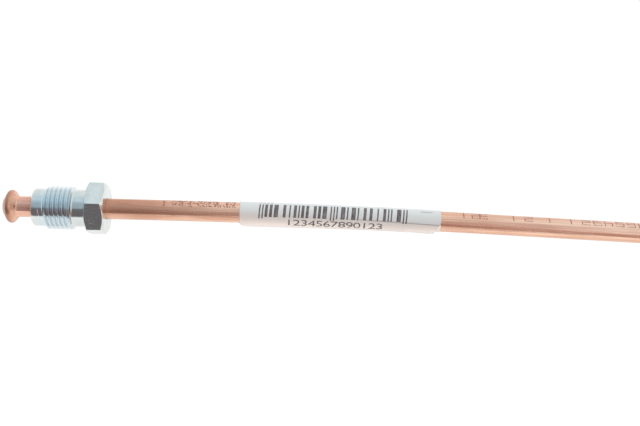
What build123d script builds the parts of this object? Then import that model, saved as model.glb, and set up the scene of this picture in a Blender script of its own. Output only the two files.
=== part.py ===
from build123d import *
from math import cos, degrees, radians, sin, tan
import os

# Short rigid brake line, in millimetres. It lies along X on the flats of its two tube nuts, +Z up, with the
# origin in the middle of its base. A distance called an "along" is measured down the tube from its near end.

# Tube: 3/16 inch line, drawn copper
tube_diameter = 4.76
wall = 0.71
line_length = 200.0
near_straight = 41.5
bend_length = 60.0
bend_radius = 1490.0

# Bubble flare, the same on both ends
flare_diameter = 7.6
front_half_angle = radians(57.5)
back_angle = radians(50)
rim_radius = 0.8
neck_radius = 0.4
flare_tail = 1.0

# Tube nut with an M10 x 1 thread
thread_diameter = 9.9
thread_pitch = 1.0
barrel_diameter = 8.62
hex_across_flats = 11.0
lead_length = 2.85
thread_length = 6.8
first_groove = 0.4
shank_length = 2.5
hex_length = 4.3
tip_chamfer = 0.4
seat_mouth_diameter = 6.6
hex_face_diameter = 10.7
hex_chamfer_angle = radians(30)
shoulder_radius = 0.3
bore_chamfer = 0.25
running_clearance = 0.08

# Where the nuts rest: how far each has slid back from its flare
near_nut_standoff = 4.2
far_nut_standoff = 0.0

# Label: a strip of film wound round the tube, with one long edge that has come loose
label_start = 53.5
label_length = 46.4
film = 0.1
film_gap = 0.02
winding_join = 150.0
winding_end = 32.0
loose_from = -6.0
loose_width = 1.25
label_corner_radius = 1.1

tube_radius = tube_diameter / 2
inner_radius = tube_radius - wall
barrel_radius = barrel_diameter / 2
thread_radius = thread_diameter / 2
thread_depth = thread_pitch * 5 / 8 * cos(radians(30))
nut_length = lead_length + thread_length + shank_length + hex_length
nut_bore_radius = tube_radius + running_clearance
axis_height = hex_across_flats / 2
far_straight = line_length - near_straight - bend_length


def mitre(before, after, distance):
    """Step from a corner of an outline to the same corner of a line drawn parallel to it, further out.

    The two angles say how steeply the outline climbs before the corner and after it."""
    outward = Vector(-sin(before), cos(before)), Vector(-sin(after), cos(after))
    return (outward[0] + outward[1]) * (distance / (1 + outward[0].dot(outward[1])))


# Corners of the flare's outer skin before they are rounded, as (distance from its front, radius)
rim_step = mitre(front_half_angle, -back_angle, rim_radius)
apex_radius = flare_diameter / 2 - rim_radius + rim_step.Y
mouth = Vector(0, inner_radius + wall * cos(front_half_angle))
apex = Vector((apex_radius - mouth.Y) / tan(front_half_angle), apex_radius)
neck = Vector(apex.X + (apex.Y - tube_radius) / tan(back_angle), tube_radius)
flare_length = neck.X + neck_radius * tan(back_angle / 2) + flare_tail

# Where the tip of a nut stands when its seat is a running clearance behind the flare
seat_drop = (apex_radius - seat_mouth_diameter / 2) * cos(back_angle)
seated_tip = apex.X + (running_clearance + seat_drop) / sin(back_angle)
near_nut_tip = seated_tip + near_nut_standoff
far_nut_tip = seated_tip + far_nut_standoff


def flare():
    """The formed end of the tube: its wall folded out and back in at one thickness, open at the mouth."""
    end = Vector(flare_length, tube_radius)
    inner_corners = [
        mouth - mitre(front_half_angle, front_half_angle, wall),
        apex - mitre(front_half_angle, -back_angle, wall),
        neck - mitre(-back_angle, 0, wall),
        end - Vector(0, wall),
    ]
    outside = FilletPolyline(mouth, apex, neck, end, radius=[rim_radius, neck_radius])
    inside = FilletPolyline(*inner_corners, radius=[rim_radius - wall, neck_radius + wall])
    cut_end = Line(mouth, inner_corners[0])
    far_end = Line(end, inner_corners[-1])
    return revolve(make_face([*outside.edges(), far_end, *inside.edges(), cut_end]), axis=Axis.X)


def place_on_line(along, turned=False):
    """The frame on the tube's centre line at a distance from the near end, X along the tube."""
    into_bend = min(max(along - near_straight, 0), bend_length)
    past_bend = max(along - near_straight - bend_length, 0)
    angle = into_bend / bend_radius
    x = min(along, near_straight) + bend_radius * sin(angle) + past_bend * cos(angle)
    y = -bend_radius * (1 - cos(angle)) - past_bend * sin(angle)
    return Location((x, y, axis_height), (0, 0, -degrees(angle) + (180 if turned else 0)))


def round_the_bend(section_place, section, length):
    """A cross-section carried a length along the tube's bend."""
    centre = Vector(near_straight, -bend_radius, 0)
    bend_axis = Axis(centre, (0, 0, -1))
    return revolve(section_place * section, axis=bend_axis, revolution_arc=degrees(length / bend_radius))


def brake_tube():
    ring = Plane.YZ * (Circle(tube_radius) - Circle(inner_radius))
    near_run = place_on_line(flare_length) * extrude(ring, near_straight - flare_length)
    bend = round_the_bend(place_on_line(near_straight), ring, bend_length)
    far_run = place_on_line(near_straight + bend_length) * extrude(ring, far_straight - flare_length)
    near_flare = place_on_line(0) * flare()
    far_flare = place_on_line(line_length, turned=True) * flare()
    return near_flare + near_run + bend + far_run + far_flare


def thread_grooves():
    """The thread's grooves in the nut's half section: the true section of the thread, drawn as rings."""
    height = thread_depth * 1.2
    root = thread_pitch / 8
    mouth = root + height * tan(radians(30))
    groove = make_face(Polyline((-root, 0), (root, 0), (mouth, height), (-mouth, height), close=True))
    first = lead_length + first_groove
    turns = int((thread_length - first_groove) / thread_pitch)
    return [Pos(first + turn * thread_pitch, thread_radius - thread_depth) * groove for turn in range(turns)]


def tube_nut():
    """The nut with its tip at the origin and its hexagon towards +X."""
    thread_start = lead_length
    thread_end = thread_start + thread_length
    hex_start = thread_end + shank_length
    thread_step = thread_radius - barrel_radius
    seat_mouth = Vector(0, seat_mouth_diameter / 2)
    seat_root = Vector((seat_mouth.Y - nut_bore_radius) / tan(back_angle), nut_bore_radius)
    seat = FilletPolyline(
        seat_mouth, seat_root, (nut_length - bore_chamfer, nut_bore_radius), radius=neck_radius - running_clearance
    )
    turned = Polyline(
        (nut_length - bore_chamfer, nut_bore_radius),
        (nut_length, nut_bore_radius + bore_chamfer),
        (nut_length, hex_across_flats),
        (hex_start, hex_across_flats),
        (hex_start, barrel_radius + shoulder_radius),
    )
    shoulder = RadiusArc(
        (hex_start, barrel_radius + shoulder_radius), (hex_start - shoulder_radius, barrel_radius), shoulder_radius
    )
    barrel = Polyline(
        (hex_start - shoulder_radius, barrel_radius),
        (thread_end, barrel_radius),
        (thread_end - thread_step, thread_radius),
        (thread_start + thread_step, thread_radius),
        (thread_start, barrel_radius),
        (tip_chamfer, barrel_radius),
        (0, barrel_radius - tip_chamfer),
        seat_mouth,
    )
    outline = [*seat.edges(), *turned.edges(), shoulder, *barrel.edges()]
    turned_nut = revolve(make_face(outline) - thread_grooves(), axis=Axis.X)
    return turned_nut & hexagon_bar(hex_start)


def hexagon_bar(hex_start):
    """What the nut is cut from: hexagon bar with both ends of its head chamfered, and a round front."""
    corner_radius = hex_across_flats / 2 / cos(radians(30))
    face_radius = hex_face_diameter / 2
    chamfer_length = (corner_radius - face_radius) * tan(hex_chamfer_angle)
    head = Plane.YZ.offset(hex_start) * RegularPolygon(corner_radius, 6, rotation=0)
    head = extrude(head, hex_length)
    barrel_end = hex_start + chamfer_length
    chamfers = Polyline(
        (hex_start, 0),
        (hex_start, face_radius),
        (barrel_end, corner_radius),
        (nut_length - chamfer_length, corner_radius),
        (nut_length, face_radius),
        (nut_length, 0),
        close=True,
    )
    front = Plane.YZ * Circle(thread_diameter)
    return extrude(front, hex_start) + (head & revolve(make_face(chamfers), axis=Axis.X))


def barcode_label():
    """Film wound a turn and a quarter: arcs about two centres half a pitch apart, then a flat loose edge.

    Angles run from the front, -Y, up over the top. The film is drawn from its hidden inner edge outwards."""
    pitch = film + film_gap
    inner_turn = tube_radius + film_gap

    def direction(angle):
        return Vector(cos(radians(angle)), sin(radians(angle)))

    def winding(side):
        """One side of the film, from its inner edge to its loose edge: 0 for the inside, 1 for the outside."""
        radius = inner_turn + side * film
        shifted = direction(winding_join) * (pitch / 2)
        hidden = CenterArc((0, 0), radius, winding_join + 180, winding_end - winding_join + 180)
        back = CenterArc(shifted, radius + pitch / 2, winding_join, 180)
        front = CenterArc((0, 0), radius + pitch, loose_from, winding_join - loose_from)
        corner = direction(loose_from) * (radius + pitch)
        loose = Line(corner, corner + direction(loose_from - 90) * loose_width)
        return [hidden, back, front, loose]

    inside = winding(0)
    outside = winding(1)
    hidden_edge = Line(inside[0] @ 1, outside[0] @ 1)
    loose_edge = Line(inside[-1] @ 1, outside[-1] @ 1)
    # The sketch's first axis points to -Y, so its plane faces back along the tube
    across = Plane(origin=(0, 0, 0), x_dir=(0, -1, 0), z_dir=(-1, 0, 0))
    section = across * make_face([*inside, *outside, hidden_edge, loose_edge])
    label = round_the_bend(place_on_line(label_start), section, label_length)
    loose_direction = direction(loose_from - 90)
    loose_side = Vector(0, -loose_direction.X, loose_direction.Y)
    short_edges = [edge for edge in label.edges() if abs(edge.length - film) < film / 10]
    corners = sorted(short_edges, key=lambda edge: edge.center().dot(loose_side))[-2:]
    return fillet(corners, label_corner_radius)


nut = tube_nut()
pieces = {
    "brake_tube": brake_tube(),
    "near_tube_nut": place_on_line(near_nut_tip) * nut,
    "far_tube_nut": place_on_line(line_length - far_nut_tip, turned=True) * nut,
    "barcode_label": barcode_label(),
}

# The origin goes to the middle of the base
solids = [solid for piece in pieces.values() for solid in piece.solids()]
extent = Compound(solids).bounding_box()
to_origin = Pos(-(extent.min.X + extent.max.X) / 2, -(extent.min.Y + extent.max.Y) / 2, 0)

if __name__ == "__main__":
    os.makedirs("parts", exist_ok=True)
    for name, piece in pieces.items():
        export_step(to_origin * piece, f"parts/{name}.step")
        print(f"{name}: {piece.volume:.1f} mm3")
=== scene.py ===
from math import atan2, ceil, cos, exp, pi, radians, sin, sqrt, tan
from random import Random

import bmesh
import bpy
from mathutils import Matrix, Vector


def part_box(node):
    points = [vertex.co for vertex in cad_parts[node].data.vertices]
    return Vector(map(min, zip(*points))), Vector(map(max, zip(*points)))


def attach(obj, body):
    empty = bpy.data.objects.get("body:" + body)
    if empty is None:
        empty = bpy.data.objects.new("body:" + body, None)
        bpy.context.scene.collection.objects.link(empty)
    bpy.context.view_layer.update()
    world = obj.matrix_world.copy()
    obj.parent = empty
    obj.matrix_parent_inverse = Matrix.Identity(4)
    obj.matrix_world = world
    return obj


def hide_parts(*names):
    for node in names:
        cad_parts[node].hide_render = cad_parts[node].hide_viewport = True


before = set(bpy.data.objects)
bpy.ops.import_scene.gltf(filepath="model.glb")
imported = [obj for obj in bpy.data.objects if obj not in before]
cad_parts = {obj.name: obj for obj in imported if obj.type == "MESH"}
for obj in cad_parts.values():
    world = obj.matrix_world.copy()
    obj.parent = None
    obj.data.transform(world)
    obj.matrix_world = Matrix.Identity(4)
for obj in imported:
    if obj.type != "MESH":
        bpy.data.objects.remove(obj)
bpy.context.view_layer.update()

# Sizes are in metres. An "along" is a distance down the line from its near end. An angle beside the line
# starts at its front, -Y, and goes up over the top.

# The line: straight, one gentle bend, straight
line_length = 0.2
near_straight = 0.0415
bend_length = 0.06
bend_radius = 1.49
tube_radius = 0.00238

# Tube nut. How far its thread is turned round it is a share of a turn
barrel_radius = 0.00431
thread_radius = 0.00495
thread_root_radius = 0.00426
thread_pitch = 0.001
thread_turned = 0.535
apothem = 0.0055
hex_corner_rounding = 0.00013
hex_face_radius = 0.00535
hex_chamfer_angle = radians(30)
pilot_length = 0.00192
lead_length = 0.00285
thread_length = 0.0063
run_out = 0.0004
shank_length = 0.003
hex_length = 0.0043
seat_mouth_radius = 0.0033
seat_angle = radians(50)
bore_radius = 0.00246
tip_chamfer = 0.0004
bore_chamfer = 0.00025
shoulder_radius = 0.0003
nut_slid_back = 0.0042

# Label: a strip of film wound round the tube, measured from its loose edge. The two windings are the radii of
# the film's middle surface, and the edge that it hides runs a little askew
label_start = 0.0535
label_length = 0.0464
film = 0.0001
outer_winding = 0.00257
inner_winding = 0.00245
loose_from = radians(-6)
loose_width = 0.00125
winding_join = radians(150)
winding_end = radians(392)
corner_rounding = 0.0011
end_lean = 0.0012
print_skew = -0.007
edge_skew = 0.023
edge_way_at_start = 0.00387
ink_thickness = 0.00002

near_nut_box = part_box("near_tube_nut")
tube_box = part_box("brake_tube")
axis_height = (near_nut_box[0].z + near_nut_box[1].z) / 2
line_start = Vector((tube_box[0].x, (near_nut_box[0].y + near_nut_box[1].y) / 2, axis_height))
near_nut_tip = near_nut_box[0].x - tube_box[0].x
far_nut_tip = line_length - (near_nut_tip - nut_slid_back)
hex_start = lead_length + thread_length + shank_length
nut_length = hex_start + hex_length


def on_line(along):
    """The point of the line's axis at a distance from its near end, and the direction there."""
    into_bend = min(max(along - near_straight, 0), bend_length)
    past_bend = max(along - near_straight - bend_length, 0)
    angle = into_bend / bend_radius
    x = min(along, near_straight) + bend_radius * sin(angle) + past_bend * cos(angle)
    y = -bend_radius * (1 - cos(angle)) - past_bend * sin(angle)
    return line_start + Vector((x, y, 0)), Vector((cos(angle), -sin(angle), 0))


def beside_line(along, front, up):
    """A point beside the line, by its distances towards the front and up."""
    centre, ahead = on_line(along)
    return centre + Vector((ahead.y, -ahead.x, 0)) * front + Vector((0, 0, up))


def smooth_step(low, high, value):
    share = min(max((value - low) / (high - low), 0), 1)
    return share * share * (3 - 2 * share)


# Help with node trees


class Nodes:
    """Short ways to add nodes to a tree. A value is a number, a tuple or the socket that feeds it."""

    def __init__(self, tree):
        self.tree = tree

    def add(self, kind, inputs=None, **settings):
        node = self.tree.nodes.new(kind)
        for name, value in settings.items():
            setattr(node, name, value)
        for name, value in (inputs or {}).items():
            self.feed(node.inputs[name], value)
        return node

    def feed(self, socket, value):
        """Links a socket to another one, or sets it."""
        if isinstance(value, bpy.types.NodeSocket):
            self.tree.links.new(value, socket)
        else:
            socket.default_value = value

    def maths(self, operation, *values):
        node = self.add("ShaderNodeMath", operation=operation)
        for socket, value in zip(node.inputs, values):
            self.feed(socket, value)
        return node.outputs[0]

    def scaled(self, vector, scale):
        node = self.add("ShaderNodeVectorMath", operation="MULTIPLY")
        self.feed(node.inputs[0], vector)
        self.feed(node.inputs[1], scale)
        return node.outputs[0]

    def noise(self, vector, detail=2.0, roughness=0.5):
        inputs = {"Vector": vector, "Scale": 1.0, "Detail": detail, "Roughness": roughness}
        return self.add("ShaderNodeTexNoise", inputs).outputs["Fac"]

    def spread(self, value, low, high, to_low=0.0, to_high=1.0):
        """A value's range brought to another one, and held at its ends."""
        inputs = {"Value": value, "From Min": low, "From Max": high, "To Min": to_low, "To Max": to_high}
        return self.add("ShaderNodeMapRange", inputs).outputs[0]

    def ramp(self, value, stops):
        """Colours, or levels of grey, along a value from 0 to 1. Stops are (position, colour or level)."""
        node = self.add("ShaderNodeValToRGB", {0: value})
        elements = node.color_ramp.elements
        while len(elements) < len(stops):
            elements.new(0.5)
        for element, (position, level) in zip(elements, stops):
            element.position = position
            element.color = (*level[:3], 1) if isinstance(level, tuple) else (level, level, level, 1)
        return node.outputs[0]

    def mixed(self, share, first, second):
        node = self.add("ShaderNodeMix", data_type="RGBA")
        self.feed(node.inputs[0], share)
        self.feed(node.inputs[6], first)
        self.feed(node.inputs[7], second)
        return node.outputs[2]


def node_group(name, kind, inputs, outputs):
    """A new node group. Inputs are (name, socket type, default or None), and outputs (name, socket type)."""
    tree = bpy.data.node_groups.new(name, kind)
    for socket_name, socket_type, default in inputs:
        socket = tree.interface.new_socket(socket_name, in_out="INPUT", socket_type=socket_type)
        if default is not None:
            socket.default_value = default
    for socket_name, socket_type in outputs:
        tree.interface.new_socket(socket_name, in_out="OUTPUT", socket_type=socket_type)
    nodes = Nodes(tree)
    return tree, nodes, nodes.add("NodeGroupInput").outputs, nodes.add("NodeGroupOutput").inputs


# Meshes


def mesh_piece(name, points, faces, material):
    mesh = bpy.data.meshes.new(name)
    mesh.from_pydata(points, [], faces)
    mesh.materials.append(material)
    mesh.shade_smooth()
    piece = bpy.data.objects.new(name, mesh)
    bpy.context.scene.collection.objects.link(piece)
    return piece


def grid_faces(rows, columns, closed=False):
    """Faces of a grid of points that was listed row by row. A closed grid joins up both ways, like a ring."""
    faces = []
    for row in range(rows if closed else rows - 1):
        for column in range(columns if closed else columns - 1):
            below = (row + 1) % rows * columns
            beside = (column + 1) % columns
            faces.append((row * columns + column, below + column, below + beside, row * columns + beside))
    return faces


def float_attribute(mesh, name, values):
    mesh.attributes.new(name, "FLOAT", "POINT").data.foreach_set("value", values)


def apply_modifiers(piece):
    """Gives the piece a plain mesh, as its modifiers made it."""
    evaluated = piece.evaluated_get(bpy.context.evaluated_depsgraph_get())
    plain, live = bpy.data.meshes.new_from_object(evaluated), piece.data
    piece.modifiers.clear()
    piece.data = plain
    bpy.data.meshes.remove(live)
    plain.name = piece.name


def rounded_outline(corners, longest_step):
    """Points along a closed outline. A corner is (x, y, rounding, longest step after it or None)."""
    arcs = []
    for index, (x, y, rounding, _) in enumerate(corners):
        here = Vector((x, y))
        before = (Vector(corners[index - 1][:2]) - here).normalized()
        after = (Vector(corners[(index + 1) % len(corners)][:2]) - here).normalized()
        half = before.angle(after) / 2
        if rounding == 0:
            arcs.append([here])
            continue
        setback = rounding / tan(half)
        middle = here + (before + after).normalized() * (rounding / sin(half))
        spoke = here + before * setback - middle
        turn = -spoke.angle_signed(here + after * setback - middle)
        steps = max(3, ceil(abs(turn) / radians(18)))
        arcs.append([middle + Matrix.Rotation(turn * step / steps, 2) @ spoke for step in range(steps + 1)])
    points = []
    for index, arc in enumerate(arcs):
        gap = arcs[(index + 1) % len(arcs)][0] - arc[-1]
        steps = max(1, ceil(gap.length / (corners[index][3] or longest_step)))
        points += arc + [arc[-1] + gap * step / steps for step in range(1, steps)]
    return points


# Tube nuts


def hexagon_radius(angle):
    """Reach of a hexagon whose corners are lightly rounded, at an angle from one of them."""
    half_sector = radians(30)
    from_corner = abs((angle + half_sector) % (2 * half_sector) - half_sector)
    corner_centre = (apothem - hex_corner_rounding) / cos(half_sector)
    arc_end = Vector((corner_centre, 0)) + Vector((cos(half_sector), sin(half_sector))) * hex_corner_rounding
    if from_corner < atan2(arc_end.y, arc_end.x):
        half_chord = sqrt(hex_corner_rounding ** 2 - (corner_centre * sin(from_corner)) ** 2)
        return corner_centre * cos(from_corner) + half_chord
    return apothem / cos(half_sector - from_corner)


def softer_min(one, other, softness):
    """The lesser of two values, with the edge between them rounded."""
    overlap = max(softness - abs(one - other), 0) / softness
    return min(one, other) - overlap * overlap * softness / 4


def nut_corners():
    """The nut's half section: from the mouth of its seat, over the outside and back through its bore."""
    thread_end = lead_length + thread_length
    step_up = thread_radius - barrel_radius
    past_corners = apothem / cos(radians(30)) + 0.00005
    hex_chamfer = (past_corners - hex_face_radius) * tan(hex_chamfer_angle)
    seat_root = (seat_mouth_radius - bore_radius) / tan(seat_angle)
    edge_rounding = 0.00004
    seat_rounding = 0.0003
    # Steps along the outline: close ones for the thread and for the hexagon's curved chamfers
    close = 0.000036
    wide = 0.002
    return [
        (0, seat_mouth_radius, edge_rounding, None),
        (0, barrel_radius - tip_chamfer, edge_rounding, None),
        (tip_chamfer, barrel_radius, edge_rounding, None),
        (pilot_length, barrel_radius, 0, close),
        (lead_length, barrel_radius, 0, close),
        (lead_length + step_up, thread_radius, 0, close),
        (thread_end - step_up / 2, thread_radius, 0, close),
        (thread_end, barrel_radius, 0, None),
        (hex_start, barrel_radius, shoulder_radius, None),
        (hex_start, hex_face_radius, 0, close),
        (hex_start + hex_chamfer, past_corners, 0, None),
        (nut_length - hex_chamfer, past_corners, 0, close),
        (nut_length, hex_face_radius, edge_rounding, None),
        (nut_length, bore_radius + bore_chamfer, edge_rounding, None),
        (nut_length - bore_chamfer, bore_radius, edge_rounding, wide),
        (seat_root, bore_radius, seat_rounding, None),
    ]


def nut_angles():
    """Places round the nut, closer together at the hexagon's corners."""
    near_corner = [0, 0.2, 0.4, 0.6, 0.8, 1.1, 1.6, 3, 6, 9, 12, 15, 18, 21, 24, 27]
    sector = [-offset for offset in near_corner[:0:-1]] + near_corner + [30]
    return [radians(60 * corner + offset) for corner in range(6) for offset in sector]


def nut_blank(name, material):
    """The nut before its thread is cut, with its tip at the origin and its hexagon towards +X.

    Its UV map is the outside unrolled: the way along the outline, and the way round."""
    outline = rounded_outline(nut_corners(), longest_step=0.0004)
    angles = nut_angles()
    edge_softness = 0.00004
    margin = 0.00001
    points, threaded, flat = [], [], []
    for along, radius in outline:
        on_hexagon = along > hex_start - margin and radius > hex_face_radius - 10 * margin
        in_thread = pilot_length <= along <= lead_length + thread_length and radius > bore_radius + bore_chamfer
        for angle in angles:
            reach = softer_min(radius, hexagon_radius(angle), edge_softness) if on_hexagon else radius
            points.append((along, reach * cos(angle), reach * sin(angle)))
            threaded.append(float(in_thread))
            flat.append(float(on_hexagon and reach < radius - 2 * margin))
    nut = mesh_piece(name, points, grid_faces(len(outline), len(angles), closed=True), material)
    way = [0.0]
    for here, ahead in zip(outline, outline[1:] + outline[:1]):
        way.append(way[-1] + (ahead - here).length)
    way_round = [angle * barrel_radius for angle in angles + [angles[0] + 2 * pi]]
    unrolled = nut.data.uv_layers.new(name="unrolled")
    for face in nut.data.polygons:
        row, column = divmod(face.index, len(angles))
        corners = ((row, column), (row + 1, column), (row + 1, column + 1), (row, column + 1))
        for loop, (along_step, round_step) in zip(face.loop_indices, corners):
            unrolled.data[loop].uv = (way[along_step], way_round[round_step])
    float_attribute(nut.data, "threaded", threaded)
    float_attribute(nut.data, "flat", flat)
    return nut


def thread_cutting(material):
    """Geometry Nodes that cut a right-hand thread round +X into the points marked as threaded."""
    number = "NodeSocketFloat"
    sizes = [
        ("Blank", "NodeSocketGeometry", None),
        ("Pitch", number, thread_pitch),
        ("Root radius", number, thread_root_radius),
        ("Crest radius", number, thread_radius),
        ("Turned", number, thread_turned),
        ("End", number, lead_length + thread_length),
        ("Run-out", number, run_out),
    ]
    tree, nodes, given, result = node_group(
        "thread_cutting", "GeometryNodeTree", sizes, [("Nut", "NodeSocketGeometry")]
    )
    crest_ends, root_starts = 0.12, 0.82
    edge_softness = 0.00004
    position = nodes.add("GeometryNodeInputPosition").outputs[0]
    along, across, up = nodes.add("ShaderNodeSeparateXYZ", {0: position}).outputs
    squares = nodes.maths("ADD", nodes.maths("MULTIPLY", across, across), nodes.maths("MULTIPLY", up, up))
    radius = nodes.maths("SQRT", squares)
    turns = nodes.maths("DIVIDE", nodes.maths("ARCTAN2", up, across), 2 * pi)
    turns = nodes.maths("SUBTRACT", turns, given["Turned"])
    phase = nodes.maths("FRACT", nodes.maths("SUBTRACT", nodes.maths("DIVIDE", along, given["Pitch"]), turns))
    # From 0 in the middle of a crest to 1 in the middle of a root
    from_crest = nodes.maths("ABSOLUTE", nodes.maths("SUBTRACT", nodes.maths("MULTIPLY", phase, 2), 1))
    flank = nodes.spread(from_crest, crest_ends, root_starts)
    # The groove comes out of the metal over the run-out, a little before the thread's end
    before_end = nodes.maths("DIVIDE", nodes.maths("SUBTRACT", given["End"], along), given["Run-out"])
    fullness = nodes.maths("MINIMUM", nodes.maths("MAXIMUM", nodes.maths("SUBTRACT", before_end, 0.4), 0), 1)
    depth = nodes.maths("SUBTRACT", given["Crest radius"], given["Root radius"])
    depth = nodes.maths("MULTIPLY", nodes.maths("MULTIPLY", flank, depth), fullness)
    groove = nodes.maths("SUBTRACT", given["Crest radius"], depth)
    cut = nodes.maths("SMOOTH_MIN", radius, groove, edge_softness)
    share = nodes.maths("DIVIDE", cut, radius)
    moved = nodes.add("ShaderNodeCombineXYZ", {
        0: along,
        1: nodes.maths("MULTIPLY", across, share),
        2: nodes.maths("MULTIPLY", up, share),
    }).outputs[0]
    mark = nodes.add("GeometryNodeInputNamedAttribute", {"Name": "threaded"}, data_type="FLOAT")
    chosen = nodes.maths("GREATER_THAN", mark.outputs["Attribute"], 0.5)
    turning = nodes.add("GeometryNodeSetPosition", {
        "Geometry": given["Blank"],
        "Selection": chosen,
        "Position": moved,
    })
    finish_tree(nodes, turning.outputs[0], result, material)
    return tree


def finish_tree(nodes, geometry, result, material):
    """Ends a Geometry Nodes tree with real geometry in one material."""
    real = nodes.add("GeometryNodeRealizeInstances", {0: geometry}).outputs[0]
    coated = nodes.add("GeometryNodeSetMaterial", {"Geometry": real, "Material": material}).outputs[0]
    nodes.feed(result[0], coated)


def tube_nut(name, node, body, along, turned, material, cutting):
    """A whole nut with its tip at an along. A turned one has its hexagon towards the line's near end."""
    nut = nut_blank(name, material)
    nut.modifiers.new("thread", "NODES").node_group = cutting
    apply_modifiers(nut)
    centre, ahead = on_line(along)
    heading = -ahead if turned else ahead
    top = Vector((0, 0, 1))
    turn = Matrix((heading, top.cross(heading), top)).transposed().to_4x4()
    nut.data.transform(Matrix.Translation(centre) @ turn)
    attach(nut, body)
    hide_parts(node)


# Label


def bump(value, middle, width):
    """1 at the middle, falling smoothly to nothing on both sides."""
    return exp(-((value - middle) / width) ** 2)


def film_lift(along, angle):
    """How far the film stands off its winding: slack on top, drawn in below its hidden edge, and creased."""
    share = along / label_length
    slack_height, drawn_depth, ripple_height = 0.00006, 0.00006, 0.000008
    pinch_height, fold_depth = 0.00006, 0.00005
    grows, shrinks = smooth_step(0.02, 0.3, share), 1.1 - share * 0.5
    slack = slack_height * bump(angle, radians(105), radians(40)) * grows * shrinks
    edge_width = radians(9) - radians(6) * smooth_step(0.55, 0.8, share)
    edge_angle = loose_from + (edge_way_at_start - edge_skew * along - loose_width) / outer_winding
    below_edge = smooth_step(edge_angle + edge_width / 3, edge_angle - edge_width, angle)
    drawn_in = -drawn_depth * below_edge * smooth_step(loose_from, radians(14), angle)
    # One short crease near the right end: a ridge with a valley in front of it
    crease_width = radians(2.6)
    pinch = pinch_height * bump(angle, radians(103), crease_width) * bump(along, 0.0432, 0.0011)
    fold = -fold_depth * bump(angle, radians(98), crease_width) * bump(along, 0.0430, 0.0013)
    ripple = ripple_height * sin(along * 900 + 2) * sin(angle * 3 + along * 260)
    return slack + drawn_in + pinch + fold + ripple


def loose_edge_curl(along):
    """How far the loose edge stands out: most at the left end, and a little again near the right one."""
    share = along / label_length
    most, eased, lifted_again = 0.00034, 0.0003, 0.00012
    return most - eased * smooth_step(0.05, 0.75, share) + lifted_again * bump(share, 0.93, 0.06)


def film_point(along, way):
    """A point of the film's middle surface, by its distances along the label and round from its loose edge."""
    tangent_way = way - loose_width
    if tangent_way < 0:
        out = (cos(loose_from), sin(loose_from))
        down = (sin(loose_from), -cos(loose_from))
        hang = -tangent_way
        curl = loose_edge_curl(along) * (hang / loose_width) ** 2
        radius = outer_winding + film_lift(along, loose_from) + curl
        front = out[0] * radius + down[0] * hang
        up = out[1] * radius + down[1] * hang
    else:
        angle = loose_from + tangent_way / outer_winding
        under = smooth_step(winding_join, winding_join + pi, angle)
        radius = outer_winding + (inner_winding - outer_winding) * under
        radius += film_lift(along, angle) * (1 - under)
        front = radius * cos(angle)
        up = radius * sin(angle)
    return beside_line(label_start + along, front, up)


def on_label(along, way, height):
    """A point over the film's outside, at a height above its middle surface."""
    step = 0.00002
    here = film_point(along, way)
    ahead = film_point(along + step, way) - here
    around = film_point(along, way + step) - here
    return here + ahead.cross(around).normalized() * height


def label_limits(way):
    """Where the label starts and ends along the line, at a way round from its loose edge."""
    inset = 0.0
    if way < corner_rounding:
        inset = corner_rounding - sqrt(corner_rounding ** 2 - (corner_rounding - way) ** 2)
    # The cut at the far end leans back towards the loose edge
    lean = end_lean * smooth_step(0.0038, 0.0006, way)
    return inset, label_length - lean


def wound_label(material):
    """The label's film. Each of its points keeps where it lies on the flat film, for the film's colours."""
    columns = 200
    full_way = loose_width + (winding_end - loose_from) * outer_winding
    step = outer_winding * radians(2.5)
    rows = ceil(full_way / step) + 1
    points, alongs, ways = [], [], []
    for row in range(rows):
        way = full_way * (row / (rows - 1))
        start, end = label_limits(way)
        for column in range(columns):
            along = start + (end - start) * column / (columns - 1)
            points.append(film_point(along, way))
            alongs.append(along)
            ways.append(way)
    label = mesh_piece("wound_label", points, grid_faces(rows, columns), material)
    float_attribute(label.data, "along", alongs)
    float_attribute(label.data, "way", ways)
    thickness = label.modifiers.new("film", "SOLIDIFY")
    thickness.thickness = film
    thickness.offset = 0.0
    apply_modifiers(label)
    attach(label, "line")
    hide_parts("barcode_label")


def printed(name, flat_meshes, material):
    """Ink on the label: flat meshes, (points, faces) in along and way, laid on the film as one thin piece."""
    points, faces = [], []
    for flat_points, flat_faces in flat_meshes:
        first = len(points)
        points += [on_label(along, way - print_skew * along, film / 2) for along, way in flat_points]
        faces += [tuple(first + corner for corner in face) for face in flat_faces]
    ink = mesh_piece(name, points, faces, material)
    thickness = ink.modifiers.new("ink", "SOLIDIFY")
    thickness.thickness = ink_thickness
    thickness.offset = 0.0
    apply_modifiers(ink)
    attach(ink, "line")


def leaning_bar(start, width, bottom, top):
    """A flat upright bar that leans a little, in rows short enough to bend round the tube."""
    rows = 16
    lean = tan(radians(3.7))
    points = []
    for row in range(rows):
        way = bottom + (top - bottom) * row / (rows - 1)
        slide = lean * (way - bottom)
        points += [(start + slide, way), (start + width + slide, way)]
    return points, grid_faces(rows, 2)


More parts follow.
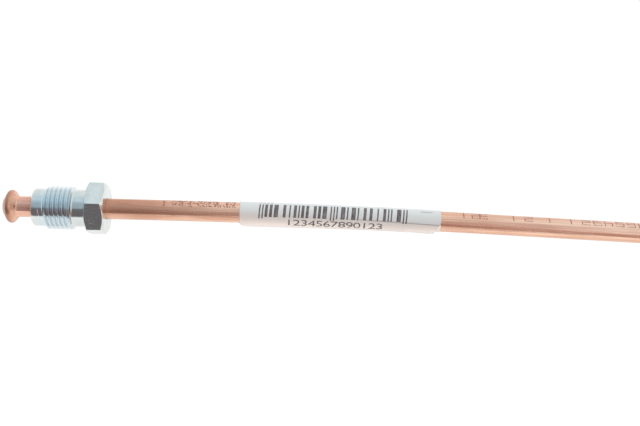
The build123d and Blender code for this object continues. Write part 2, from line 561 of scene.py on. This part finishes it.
def label_bars():
    """A made-up row of bars, one to three modules wide, with longer pairs at both ends and in the middle."""
    start, whole_length, count = 0.0043, 0.0342, 30
    bottom, top, guard_drop = 0.00292, 0.00603, 0.0004
    inked_share = 0.94
    guards = (0, 1, count // 2 - 1, count // 2, count - 2, count - 1)
    modules = (1, 1, 2, 2, 3)
    random = Random(12)
    widths = [1 if index in guards else random.choice(modules) for index in range(count)]
    gaps = [1 if index in guards else random.choice(modules) for index in range(count)]
    module = whole_length / sum(widths + gaps[:-1])
    bars = []
    place = start
    for index, (width, gap) in enumerate(zip(widths, gaps)):
        foot = bottom - guard_drop * (index in guards)
        bars.append(leaning_bar(place, width * module * inked_share, foot, top))
        place += (width + gap) * module
    # Four short dashes over the left end of the bars
    first_dash, dash_pitch, dash_length, dash_bottom, dash_top = 0.0046, 0.00085, 0.0005, 0.00045, 0.0006
    for index in range(4):
        dash_start = first_dash + index * dash_pitch
        bars.append(leaning_bar(dash_start, dash_length, top + dash_bottom, top + dash_top))
    return bars


def flat_text(words, size):
    """Words as flat points and faces, sliced finely enough to be laid round a tube."""
    slice_height = 0.0002
    touching = 1e-7
    data = bpy.data.curves.new("words", "FONT")
    data.body = words
    data.size = size
    data.resolution_u = 4
    carrier = bpy.data.objects.new("words", data)
    bpy.context.scene.collection.objects.link(carrier)
    mesh = bpy.data.meshes.new_from_object(carrier.evaluated_get(bpy.context.evaluated_depsgraph_get()))
    bpy.data.objects.remove(carrier)
    cut = bmesh.new()
    cut.from_mesh(mesh)
    bpy.data.meshes.remove(mesh)
    level = -size
    while level < size:
        everything = cut.verts[:] + cut.edges[:] + cut.faces[:]
        bmesh.ops.bisect_plane(cut, geom=everything, plane_co=(0, level, 0), plane_no=(0, 1, 0), dist=touching)
        level += slice_height
    bmesh.ops.remove_doubles(cut, verts=cut.verts, dist=touching)
    cut.verts.index_update()
    points = [(corner.co.x, corner.co.y) for corner in cut.verts]
    faces = [tuple(corner.index for corner in face.verts) for face in cut.faces]
    cut.free()
    return points, faces


def label_digits():
    """Plain counting digits under the bars."""
    first, pitch, stretch, size = 0.0114, 0.00174, 1.45, 0.00265
    bottom, slope = 0.00064, -0.010
    digits = []
    for index in range(13):
        points, faces = flat_text(str((index + 1) % 10), size)
        sides = [x for x, y in points]
        middle = (min(sides) + max(sides)) / 2
        start = first + index * pitch
        foot = bottom + slope * index * pitch
        digits.append(([(start + (x - middle) * stretch, foot + y) for x, y in points], faces))
    return digits


# Ink marks on the tube

# Strokes of a digit on a grid of dots, five wide and seven high: each is (column, row) to (column, row)
strokes = {
    "top": ((0, 6), (4, 6)),
    "middle": ((0, 3), (4, 3)),
    "bottom": ((0, 0), (4, 0)),
    "upper left": ((0, 3), (0, 6)),
    "upper right": ((4, 3), (4, 6)),
    "lower left": ((0, 0), (0, 3)),
    "lower right": ((4, 0), (4, 3)),
}
strokes_left_out = {
    0: ("middle",),
    1: ("top", "middle", "bottom", "upper left", "lower left"),
    2: ("upper left", "lower right"),
    3: ("upper left", "lower left"),
    4: ("top", "bottom", "lower left"),
    5: ("upper right", "lower left"),
    6: ("upper right",),
    7: ("middle", "bottom", "upper left", "lower left"),
    8: (),
    9: ("lower left",),
}


def digit_dots(digit):
    """The dots of a digit, as (column, row)."""
    dots = set()
    for name, (first, last) in strokes.items():
        if name in strokes_left_out[digit]:
            continue
        steps = max(abs(last[0] - first[0]), abs(last[1] - first[1]))
        for step in range(steps + 1):
            column = first[0] + (last[0] - first[0]) * step / steps
            row = first[1] + (last[1] - first[1]) * step / steps
            dots.add((column, row))
    return sorted(dots)


def ink_dot_tree(material):
    """Geometry Nodes that set a small flat dot of ink on each point, facing away from the tube."""
    tree, nodes, given, result = node_group(
        "ink_dots",
        "GeometryNodeTree",
        [
            ("Places", "NodeSocketGeometry", None),
            ("Dot radius", "NodeSocketFloat", 0.00015),
            ("Dot thickness", "NodeSocketFloat", ink_thickness),
        ],
        [("Dots", "NodeSocketGeometry")],
    )
    dot = nodes.add("GeometryNodeMeshCylinder", {
        "Vertices": 10,
        "Radius": given["Dot radius"],
        "Depth": given["Dot thickness"],
    }).outputs["Mesh"]
    away = nodes.add("GeometryNodeInputNamedAttribute", {"Name": "away"}, data_type="FLOAT_VECTOR")
    size = nodes.add("GeometryNodeInputNamedAttribute", {"Name": "size"}, data_type="FLOAT")
    turn = nodes.add("FunctionNodeAlignRotationToVector", {"Vector": away.outputs["Attribute"]}, axis="Z")
    dots = nodes.add("GeometryNodeInstanceOnPoints", {
        "Points": given["Places"],
        "Instance": dot,
        "Rotation": turn.outputs[0],
        "Scale": size.outputs["Attribute"],
    })
    finish_tree(nodes, dots.outputs[0], result, material)
    return tree


def ink_marks(material):
    """Faded dot-matrix digits along the tube, upside down as seen from the front. Some are smudged."""
    # Each group: the along of its first digit, digits, distance between digits, smudge from 0 to 1
    groups = (
        (0.0362, 8, 0.00204, 1.0),
        (0.1052, 3, 0.00190, 0.25),
        (0.1168, 2, 0.00265, 0.0),
        (0.1252, 1, 0.00265, 0.0),
        (0.1302, 9, 0.00265, 0.0),
    )
    low_angle, high_angle = radians(82), radians(118)
    dot_step = 0.00042
    random = Random(3)
    places, aways, sizes = [], [], []
    for start, count, pitch, smudge in groups:
        for index in range(count):
            for column, row in digit_dots((index + 1) % 10):
                # A smudge moves its dots and swells them
                along = start + index * pitch + (4 - column) * dot_step
                along += random.uniform(-1, 1) * (0.00003 + 0.00022 * smudge)
                angle = low_angle + (high_angle - low_angle) * (6 - row) / 6
                angle += random.uniform(-1, 1) * radians(0.5 + 4 * smudge)
                front, up = cos(angle), sin(angle)
                surface = beside_line(along, front * tube_radius, up * tube_radius)
                places.append(surface)
                aways.append(surface - beside_line(along, 0, 0))
                sizes.append(random.uniform(0.75, 1.1) * (1 + 0.5 * smudge * random.random()))
    marks = mesh_piece("ink_marks", places, [], material)
    away = marks.data.attributes.new("away", "FLOAT_VECTOR", "POINT")
    away.data.foreach_set("vector", [value for vector in aways for value in vector])
    float_attribute(marks.data, "size", sizes)
    marks.modifiers.new("dots", "NODES").node_group = ink_dot_tree(material)
    apply_modifiers(marks)
    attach(marks, "line")


# Materials


def colour(red, green, blue):
    """An sRGB colour, 0 to 255, as Blender's linear values."""
    def linear(value):
        value = value / 255
        return value / 12.92 if value <= 0.04045 else ((value + 0.055) / 1.055) ** 2.4
    return (linear(red), linear(green), linear(blue), 1.0)


def new_material(name):
    material = bpy.data.materials.new(name)
    material.use_nodes = True
    nodes = Nodes(material.node_tree)
    return material, nodes, material.node_tree.nodes["Principled BSDF"].inputs


def tool_lines_group():
    """Fine parallel lines that a die, a tool or a brush leaves: close ones, with broader bands among them."""
    tree, nodes, given, result = node_group(
        "tool_lines",
        "ShaderNodeTree",
        [
            ("Place", "NodeSocketVector", None),
            ("Lines per metre", "NodeSocketVector", (1, 1, 1)),
            ("Bands", "NodeSocketFloat", 0.4),
        ],
        [("Lines", "NodeSocketFloat")],
    )
    fine = nodes.scaled(given["Place"], given["Lines per metre"])
    close = nodes.noise(fine, 3.0, 0.65)
    broad = nodes.noise(nodes.scaled(fine, (0.31, 0.31, 0.31)), 2.0)
    both = nodes.add("ShaderNodeMix", {0: given["Bands"], 2: close, 3: broad}, data_type="FLOAT").outputs[0]
    nodes.feed(result[0], nodes.spread(both, 0.28, 0.72))
    return tree


def blotches_group():
    """Soft uneven patches, such as tarnish, stain or handling."""
    tree, nodes, given, result = node_group(
        "blotches",
        "ShaderNodeTree",
        [
            ("Place", "NodeSocketVector", None),
            ("Patches per metre", "NodeSocketVector", (1, 1, 1)),
            ("Least", "NodeSocketFloat", 0.4),
            ("Most", "NodeSocketFloat", 0.7),
        ],
        [("Patches", "NodeSocketFloat")],
    )
    patches = nodes.noise(nodes.scaled(given["Place"], given["Patches per metre"]), 4.0, 0.6)
    nodes.feed(result[0], nodes.spread(patches, given["Least"], given["Most"]))
    return tree


def placed_group(nodes, tree, inputs):
    """The first output of a node group that is placed with its own values."""
    node = nodes.add("ShaderNodeGroup", node_tree=tree)
    for name, value in inputs.items():
        nodes.feed(node.inputs[name], value)
    return node.outputs[0]


def surface_bump(nodes, surface, height, distance, strength=1.0):
    inputs = {"Height": height, "Distance": distance, "Strength": strength}
    nodes.feed(surface["Normal"], nodes.add("ShaderNodeBump", inputs).outputs[0])


def straightened_place(nodes):
    """Object coordinates with the line's bend taken out, so that a pattern runs along the tube."""
    place = nodes.add("ShaderNodeTexCoord").outputs["Object"]
    parts = nodes.add("ShaderNodeSeparateXYZ", {0: place}).outputs
    bend_start = line_start.x + near_straight
    into_bend = nodes.maths("MAXIMUM", nodes.maths("SUBTRACT", parts[0], bend_start), 0)
    in_bend = nodes.maths("MINIMUM", into_bend, bend_length)
    past_bend = nodes.maths("SUBTRACT", into_bend, in_bend)
    sag = nodes.maths("DIVIDE", nodes.maths("MULTIPLY", in_bend, in_bend), 2 * bend_radius)
    drift = nodes.maths("ADD", sag, nodes.maths("MULTIPLY", past_bend, tan(bend_length / bend_radius)))
    across = nodes.maths("ADD", nodes.maths("SUBTRACT", parts[1], line_start.y), drift)
    up = nodes.maths("SUBTRACT", parts[2], axis_height)
    return nodes.add("ShaderNodeCombineXYZ", {0: parts[0], 1: across, 2: up}).outputs[0]


def drawn_copper(tool_lines, blotches):
    """Drawn copper under a thin clear oxide: lines from the die, and a dull bloom along its upper side."""
    material, nodes, surface = new_material("drawn_copper")
    place = straightened_place(nodes)
    parts = nodes.add("ShaderNodeSeparateXYZ", {0: place}).outputs
    lines = placed_group(nodes, tool_lines, {
        "Place": place,
        "Lines per metre": (40, 2300, 2300),
        "Bands": 0.45,
    })
    bloom = placed_group(nodes, blotches, {
        "Place": place,
        "Patches per metre": (90, 420, 420),
        "Least": 0.36,
        "Most": 0.66,
    })
    stain = placed_group(nodes, blotches, {
        "Place": place,
        "Patches per metre": (75, 900, 900),
        "Least": 0.52,
        "Most": 0.74,
    })
    # Along the line, from 0 at its near end to 1 at its far end: browned flares, then a pink patch past the
    # near one, painted over the top as a reflection of the nut, and a dull bloom up to the label, all round the
    # tube or only over its top
    share = nodes.spread(parts[0], line_start.x, line_start.x + line_length)
    browned = nodes.ramp(share, (
        (0.0, 0.95), (0.004, 0.8), (0.0075, 0.5), (0.0105, 0.15), (0.013, 0.0),
        (0.987, 0.0), (0.9895, 0.15), (0.9925, 0.5), (0.996, 0.8), (1.0, 0.95),
    ))
    # Painted reflection: a pink patch over the tube's top between the near flare and its nut
    pink_reflection_patch = nodes.ramp(share, (
        (0.0, 0.0), (0.012, 0.1), (0.022, 0.5), (0.029, 0.9), (0.034, 0.6), (0.06, 0.0),
    ))
    all_round = nodes.ramp(share, (
        (0.0, 0.95), (0.0085, 0.9), (0.0125, 0.0), (0.09, 0.1), (0.13, 0.1),
        (0.15, 0.55), (0.165, 0.5), (0.185, 0.0), (0.9875, 0.0), (0.9915, 0.9), (1.0, 0.95),
    ))
    on_top = nodes.ramp(share, (
        (0.02, 0.0), (0.08, 0.8), (0.14, 1.0), (0.17, 0.9), (0.20, 0.45), (0.24, 0.15), (0.5, 0.0),
    ))
    top_side = nodes.spread(parts[2], 0.0005, 0.0013)
    dull = nodes.maths("MAXIMUM", all_round, nodes.maths("MULTIPLY", on_top, top_side))
    base = nodes.mixed(bloom, colour(255, 213, 186), colour(250, 200, 172))
    # Past the label the tube's upper side is painted paler: a painted reflection of the white wall behind
    painted_top_sheen = nodes.maths("MULTIPLY", nodes.spread(share, 0.5, 0.68, 0, 0.32), top_side)
    base = nodes.mixed(painted_top_sheen, base, colour(255, 238, 228))
    # The painted pink reflection, laid over the tube's upper side only
    base = nodes.mixed(nodes.maths("MULTIPLY", pink_reflection_patch, top_side), base, colour(246, 184, 171))
    base = nodes.mixed(dull, base, colour(206, 150, 124))
    base = nodes.mixed(browned, base, colour(146, 104, 73))
    stained = nodes.maths("MULTIPLY", stain, nodes.spread(on_top, 0, 1, 0.3, 0.75))
    base = nodes.mixed(stained, base, colour(170, 112, 88))
    base = nodes.mixed(nodes.spread(lines, 0.3, 0.75, 0.5, 0), base, colour(180, 120, 94))
    # The oxide that scatters light is thinner past the label
    nodes.feed(surface["Metallic"], nodes.spread(share, 0.46, 0.58, 0.76, 0.88))
    nodes.feed(surface["Base Color"], base)
    roughness = nodes.maths("ADD", nodes.spread(lines, 0, 1, 0.27, 0.19), nodes.maths("MULTIPLY", bloom, 0.05))
    nodes.feed(surface["Roughness"], roughness)
    surface["Coat Weight"].default_value = 0.25
    surface["Coat Roughness"].default_value = 0.25
    surface_bump(nodes, surface, lines, 0.00005)
    return material


def zinc_plate(tool_lines, blotches):
    """Bright zinc with a blue cast: rings where it was turned, lines along the flats, faint stains."""
    material, nodes, surface = new_material("zinc_plated_steel")
    unrolled = nodes.add("ShaderNodeUVMap", uv_map="unrolled").outputs[0]
    place = nodes.add("ShaderNodeTexCoord").outputs["Object"]
    rings = placed_group(nodes, tool_lines, {
        "Place": unrolled,
        "Lines per metre": (6500, 70, 1),
        "Bands": 0.3,
    })
    slanted = nodes.add("ShaderNodeMapping", {"Vector": unrolled, "Rotation": (0, 0, radians(-4))}).outputs[0]
    streaks = placed_group(nodes, tool_lines, {
        "Place": slanted,
        "Lines per metre": (380, 4300, 1),
        "Bands": 0.25,
    })
    stain = placed_group(nodes, blotches, {
        "Place": place,
        "Patches per metre": (420, 420, 420),
        "Least": 0.38,
        "Most": 0.68,
    })
    flat = nodes.add("ShaderNodeAttribute", attribute_name="flat").outputs["Fac"]
    threaded = nodes.add("ShaderNodeAttribute", attribute_name="threaded").outputs["Fac"]
    marks = nodes.add("ShaderNodeMix", {0: flat, 2: rings, 3: streaks}, data_type="FLOAT").outputs[0]
    surface["Metallic"].default_value = 1.0
    base = nodes.mixed(stain, colour(222, 226, 223), colour(208, 213, 212))
    nodes.feed(surface["Base Color"], nodes.mixed(threaded, base, colour(213, 223, 227)))
    # Scratches on a flat are rougher than the plate round them
    scratches = nodes.maths("MULTIPLY", nodes.spread(streaks, 0.5, 0.8), flat)
    roughness = nodes.maths("ADD", nodes.spread(marks, 0, 1, 0.14, 0.07), nodes.maths("MULTIPLY", stain, 0.05))
    roughness = nodes.maths("ADD", roughness, nodes.maths("MULTIPLY", scratches, 0.2))
    nodes.feed(surface["Roughness"], roughness)
    surface_bump(nodes, surface, marks, 0.000006, 0.7)
    return material


def crease(nodes, way, along, at_way, fades_in, fades_out):
    """A thin dark line of painted shade along the film at one way round, where it creases, between two
    stretches over which it fades.
    """
    half_width = 0.00022
    off_line = nodes.maths("ABSOLUTE", nodes.maths("SUBTRACT", way, at_way))
    line = nodes.spread(off_line, 0.0, half_width, 1, 0)
    length = nodes.maths("MULTIPLY", nodes.spread(along, *fades_in), nodes.spread(along, *fades_out, 1, 0))
    return nodes.maths("MULTIPLY", line, length)


def label_film(blotches):
    """Thin glossy film, grey-white above the edge it hides, and warmer below, where copper shows through. Round
    the tube its colour also carries painted light and shade: palest at the loose edge, darker higher up, and
    lighter again towards the top.
    """
    material, nodes, surface = new_material("label_film")
    way = nodes.add("ShaderNodeAttribute", attribute_name="way").outputs["Fac"]
    along = nodes.add("ShaderNodeAttribute", attribute_name="along").outputs["Fac"]
    place = nodes.add("ShaderNodeTexCoord").outputs["Object"]
    ramp_end = 0.01
    place_round = nodes.maths("DIVIDE", way, ramp_end)
    # Below the hidden edge: palest at the loose edge and darker higher up. A little of this is real, where the
    # film stands off the copper; the rest is painted shade by how the film faces the floor
    below = nodes.ramp(place_round, (
        (0.0, colour(253, 241, 232)),
        (0.08, colour(248, 235, 226)),
        (0.13, colour(241, 228, 218)),
        (0.19, colour(225, 212, 203)),
        (0.26, colour(210, 200, 192)),
        (0.33, colour(202, 195, 190)),
        (1.0, colour(242, 228, 217)),
    ))
    # Above the hidden edge: painted light, lighter towards the top, which faces the lamp and wall behind
    above = nodes.ramp(place_round, (
        (0.29, colour(197, 196, 194)),
        (0.39, colour(199, 199, 196)),
        (0.50, colour(203, 204, 201)),
        (0.62, colour(210, 210, 208)),
        (0.72, colour(226, 225, 224)),
    ))
    edge_way = nodes.maths("SUBTRACT", edge_way_at_start, nodes.maths("MULTIPLY", along, edge_skew))
    over_edge = nodes.maths("SUBTRACT", way, edge_way)
    # The step at the hidden edge is soft at the left end and sharp at the right. Only the outer turn shows it
    softness = nodes.spread(along, 0.0, 0.036, 0.0006, 0.0001)
    is_above = nodes.spread(nodes.maths("DIVIDE", over_edge, softness), -1, 1)
    outer_turn = nodes.spread(way, 0.0152, 0.0162, 1, 0)
    film_colour_with_painted_shade = nodes.mixed(nodes.maths("MULTIPLY", is_above, outer_turn), below, above)
    # Painted shade in the film's creases: along the step over the hidden edge, and in the short crease near the
    # right end
    shade_at_edge_crease = crease(nodes, over_edge, along, 0.0, (0.024, 0.034), (0.1, 0.2))
    shade_in_short_crease = crease(nodes, way, along, 0.00588, (0.0414, 0.0420), (0.0440, 0.0448))
    film_colour_with_painted_shade = nodes.mixed(nodes.maths("MAXIMUM", shade_at_edge_crease, shade_in_short_crease), film_colour_with_painted_shade, colour(140, 130, 128))
    grime = placed_group(nodes, blotches, {
        "Place": place,
        "Patches per metre": (160, 500, 500),
        "Least": 0.42,
        "Most": 0.72,
    })
    most_grime = 0.25
    film_colour_with_painted_shade = nodes.mixed(nodes.maths("MULTIPLY", grime, most_grime), film_colour_with_painted_shade, colour(196, 195, 192))
    nodes.feed(surface["Base Color"], film_colour_with_painted_shade)
    surface["Roughness"].default_value = 0.3
    surface["Specular IOR Level"].default_value = 0.45
    return material


def printing_ink(name, ink_colour, roughness, metal, blotches):
    """Dull ink, worn a little in patches. Ink so thin that metal shows through it is given a metal share."""
    most_worn = 0.12
    material, nodes, surface = new_material(name)
    place = nodes.add("ShaderNodeTexCoord").outputs["Object"]
    wear = placed_group(nodes, blotches, {
        "Place": place,
        "Patches per metre": (900, 900, 900),
        "Least": 0.4,
        "Most": 0.75,
    })
    worn = tuple(value + (1 - value) * most_worn for value in ink_colour[:3]) + (1.0,)
    nodes.feed(surface["Base Color"], nodes.mixed(wear, ink_colour, worn))
    surface["Roughness"].default_value = roughness
    surface["Metallic"].default_value = metal
    return material


# Studio


def any_of(nodes, *rays):
    """1 for a ray of any of these kinds."""
    kinds = nodes.add("ShaderNodeLightPath").outputs
    found = kinds[rays[0]]
    for ray in rays[1:]:
        found = nodes.maths("MAXIMUM", found, kinds[ray])
    return found


def studio_floor():
    """A plain pale floor. It is white to the eye and keeps the object's soft shadow.

    Reflections show it white near the object, and darker in front, where the dark room starts."""
    half = 4.0
    white_ends, white_starts = -0.085, -0.035
    material, nodes, surface = new_material("white_floor")
    seen = any_of(nodes, "Is Camera Ray", "Is Glossy Ray", "Is Transmission Ray")
    place = nodes.add("ShaderNodeTexCoord").outputs["Object"]
    way_back = nodes.add("ShaderNodeSeparateXYZ", {0: place}).outputs[1]
    near = nodes.spread(way_back, white_ends, white_starts)
    mirrored = nodes.maths("MULTIPLY", any_of(nodes, "Is Glossy Ray"), near)
    lit = nodes.maths("MAXIMUM", any_of(nodes, "Is Camera Ray", "Is Transmission Ray"), mirrored)
    nodes.feed(surface["Base Color"], nodes.mixed(seen, (0.8, 0.8, 0.8, 1), (0.17, 0.17, 0.17, 1)))
    surface["Roughness"].default_value = 1.0
    surface["Specular IOR Level"].default_value = 0.0
    surface["Emission Color"].default_value = (1, 1, 1, 1)
    nodes.feed(surface["Emission Strength"], nodes.maths("MULTIPLY", lit, 0.9))
    corners = [(-half, -half, 0), (half, -half, 0), (half, half, 0), (-half, half, 0)]
    mesh_piece("floor", corners, [(0, 1, 2, 3)], material)


def by_degrees(levels):
    """Stops of a sky's ramp, from (degrees up from the horizon behind the object, colour)."""
    return [(degrees_up / 180, level) for degrees_up, level in levels]


def studio_world():
    """A white wall behind the object, a cool ceiling, a dark room in front and a bright window to the right.

    It shows only in reflections and as soft light. The background behind the object is white."""
    world = bpy.data.worlds.new("studio")
    world.use_nodes = True
    bpy.context.scene.world = world
    nodes = Nodes(world.node_tree)
    sky = world.node_tree.nodes["Background"].inputs
    direction = nodes.add("ShaderNodeTexCoord").outputs["Generated"]
    parts = nodes.add("ShaderNodeSeparateXYZ", {0: direction}).outputs
    height = nodes.maths("DIVIDE", nodes.maths("ARCTAN2", parts[2], parts[1]), pi)
    left = nodes.ramp(height, by_degrees((
        (0, (1.0, 1.0, 1.0)),
        (30, (0.93, 0.98, 1.0)),
        (50, (0.86, 0.94, 0.99)),
        (60, (0.72, 0.84, 0.92)),
        (84, (0.67, 0.81, 0.93)),
        (92, (0.56, 0.69, 0.80)),
        (104, (0.44, 0.55, 0.64)),
        (131, (0.40, 0.49, 0.55)),
        (138, (0.18, 0.18, 0.20)),
        (180, (0.17, 0.155, 0.165)),
    )))
    middle = nodes.ramp(height, by_degrees((
        (0, (1.0, 1.0, 1.0)),
        (50, (0.94, 1.0, 1.0)),
        (72, (0.87, 0.97, 1.0)),
        (92, (0.80, 0.89, 0.96)),
        (108, (0.70, 0.75, 0.79)),
        (122, (0.57, 0.56, 0.59)),
        (137, (0.45, 0.38, 0.39)),
        (153, (0.38, 0.265, 0.265)),
        (167, (0.28, 0.16, 0.14)),
        (180, (0.26, 0.13, 0.10)),
    )))
    right = nodes.ramp(height, by_degrees((
        (0, (1.0, 1.0, 1.0)),
        (50, (0.96, 1.0, 1.0)),
        (77, (0.88, 0.97, 1.0)),
        (92, (0.97, 1.0, 1.0)),
        (132, (1.0, 1.0, 1.0)),
        (147, (0.94, 0.84, 0.81)),
        (157, (0.69, 0.48, 0.43)),
        (169, (0.56, 0.28, 0.21)),
        (180, (0.52, 0.23, 0.16)),
    )))
    levels = nodes.mixed(nodes.spread(parts[0], -0.17, -0.06), left, middle)
    levels = nodes.mixed(nodes.spread(parts[0], 0.16, 0.34), levels, right)
    seen = any_of(nodes, "Is Camera Ray", "Is Transmission Ray")
    nodes.feed(sky["Color"], nodes.mixed(seen, levels, (1, 1, 1, 1)))
    sky["Strength"].default_value = 1.0


def soft_lamp(name, place, size, energy):
    """A broad lamp that faces the object. The metal reflects the world, not the lamp."""
    data = bpy.data.lights.new(name, "AREA")
    data.shape = "SQUARE"
    data.size = size
    data.energy = energy
    lamp = bpy.data.objects.new(name, data)
    lamp.location = place
    lamp.rotation_euler = (-Vector(place)).to_track_quat("-Z", "Y").to_euler()
    lamp.visible_glossy = False
    bpy.context.scene.collection.objects.link(lamp)


def photo_camera():
    """The photograph's view: from the front, looking down. The photograph's frame is 640 by 426; the render's
    size is not set here.
    """
    azimuth = radians(-3.855)
    elevation = radians(50.51)
    roll = radians(4.512)
    distance = 0.18895
    looked_at = Vector((-0.027958, 0.002722, axis_height))
    right = Vector((cos(azimuth), sin(azimuth), 0))
    back = Vector((sin(azimuth) * cos(elevation), -cos(azimuth) * cos(elevation), sin(elevation)))
    level = Matrix((right, back.cross(right), back)).transposed()
    data = bpy.data.cameras.new("camera")
    data.sensor_width = 36.0
    data.lens = 45.633
    data.clip_start = 0.01
    data.clip_end = 20.0
    camera = bpy.data.objects.new("camera", data)
    camera.rotation_mode = "QUATERNION"
    camera.rotation_quaternion = (level @ Matrix.Rotation(roll, 3, "Z")).to_quaternion()
    camera.location = looked_at + back * distance
    bpy.context.scene.collection.objects.link(camera)
    bpy.context.scene.camera = camera


photo_camera()
studio_floor()
studio_world()
soft_lamp("lamp_behind", (-0.1, 0.4, 0.75), 0.8, 1.9)
soft_lamp("lamp_in_front", (0.1, -0.6, 0.45), 0.8, 2.6)

tool_lines = tool_lines_group()
blotches = blotches_group()
copper = drawn_copper(tool_lines, blotches)
zinc = zinc_plate(tool_lines, blotches)
label_ink = printing_ink("label_ink", colour(88, 80, 80), 0.5, 0.0, blotches)
tube_ink = printing_ink("tube_ink", colour(162, 108, 98), 0.45, 0.6, blotches)

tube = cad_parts["brake_tube"]
tube.data.materials.clear()
tube.data.materials.append(copper)

thread = thread_cutting(zinc)
tube_nut("near_threaded_nut", "near_tube_nut", "near_nut", near_nut_tip, False, zinc, thread)
tube_nut("far_threaded_nut", "far_tube_nut", "far_nut", far_nut_tip, True, zinc, thread)

wound_label(label_film(blotches))
printed("label_bars", label_bars(), label_ink)
printed("label_digits", label_digits(), label_ink)
ink_marks(tube_ink)

bpy.context.scene.view_settings.view_transform = "Standard"
